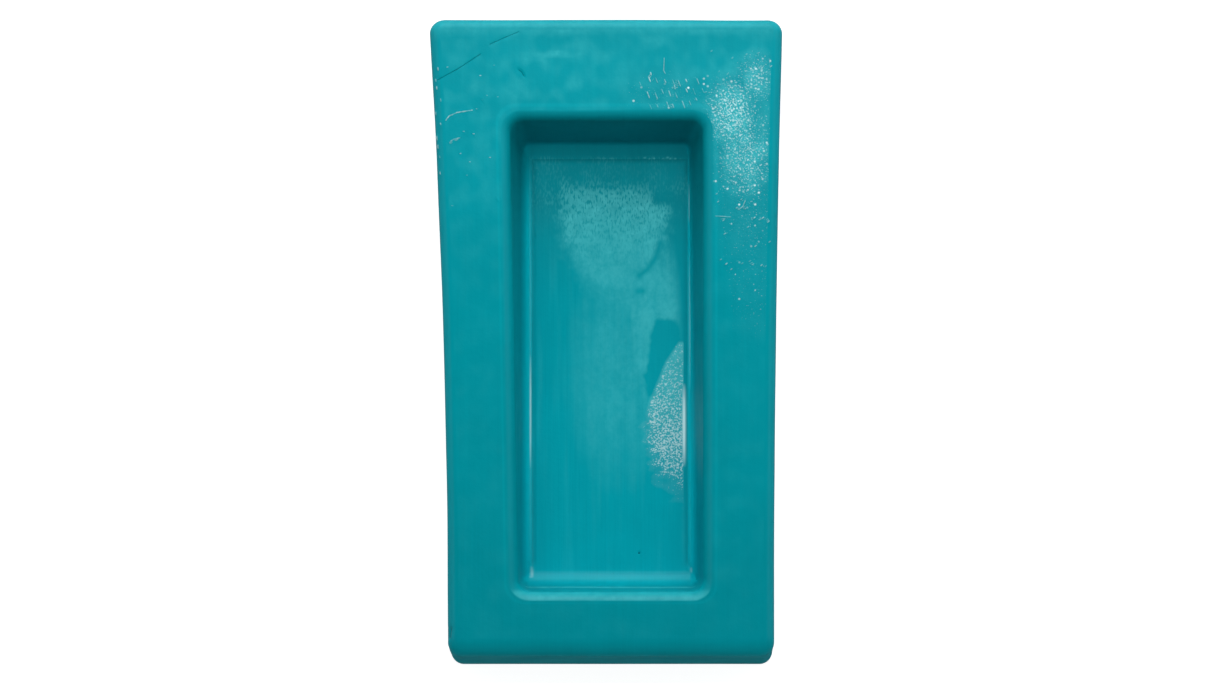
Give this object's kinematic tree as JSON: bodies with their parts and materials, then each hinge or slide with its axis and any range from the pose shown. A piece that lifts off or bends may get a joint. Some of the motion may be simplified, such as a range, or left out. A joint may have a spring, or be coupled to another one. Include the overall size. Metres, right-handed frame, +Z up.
{
  "type": "silicone soap mould",
  "caption": "Thick cast silicone soap mould with an open bar-shaped cavity, broad rounded rim and bevelled cavity floor; it bends along its length to free the soap.",
  "frame": {"origin": "centre of the block's footprint, on the underside it rests on", "axes": "+Z up, out of the cavity; +Y along the length towards the wider head end; +X to the right seen from above with the head end away"},
  "size_m": [0.0786, 0.1422, 0.034],
  "materials": {
    "silicone": "satin translucent-looking cast silicone with a fine orange-peel skin"
  },
  "bodies": {
    "foot_half": {"foot_half": "silicone"},
    "head_half": {"head_half": "silicone"}
  },
  "joints": [
    {"name": "body_flex", "type": "hinge", "parent": "foot_half", "child": "head_half", "pos_m": [0, -0.004, 0.034], "axis": [1, 0, 0], "range_deg": [0, 25], "stiffness_Nm_per_rad": 0.8}
  ]
}
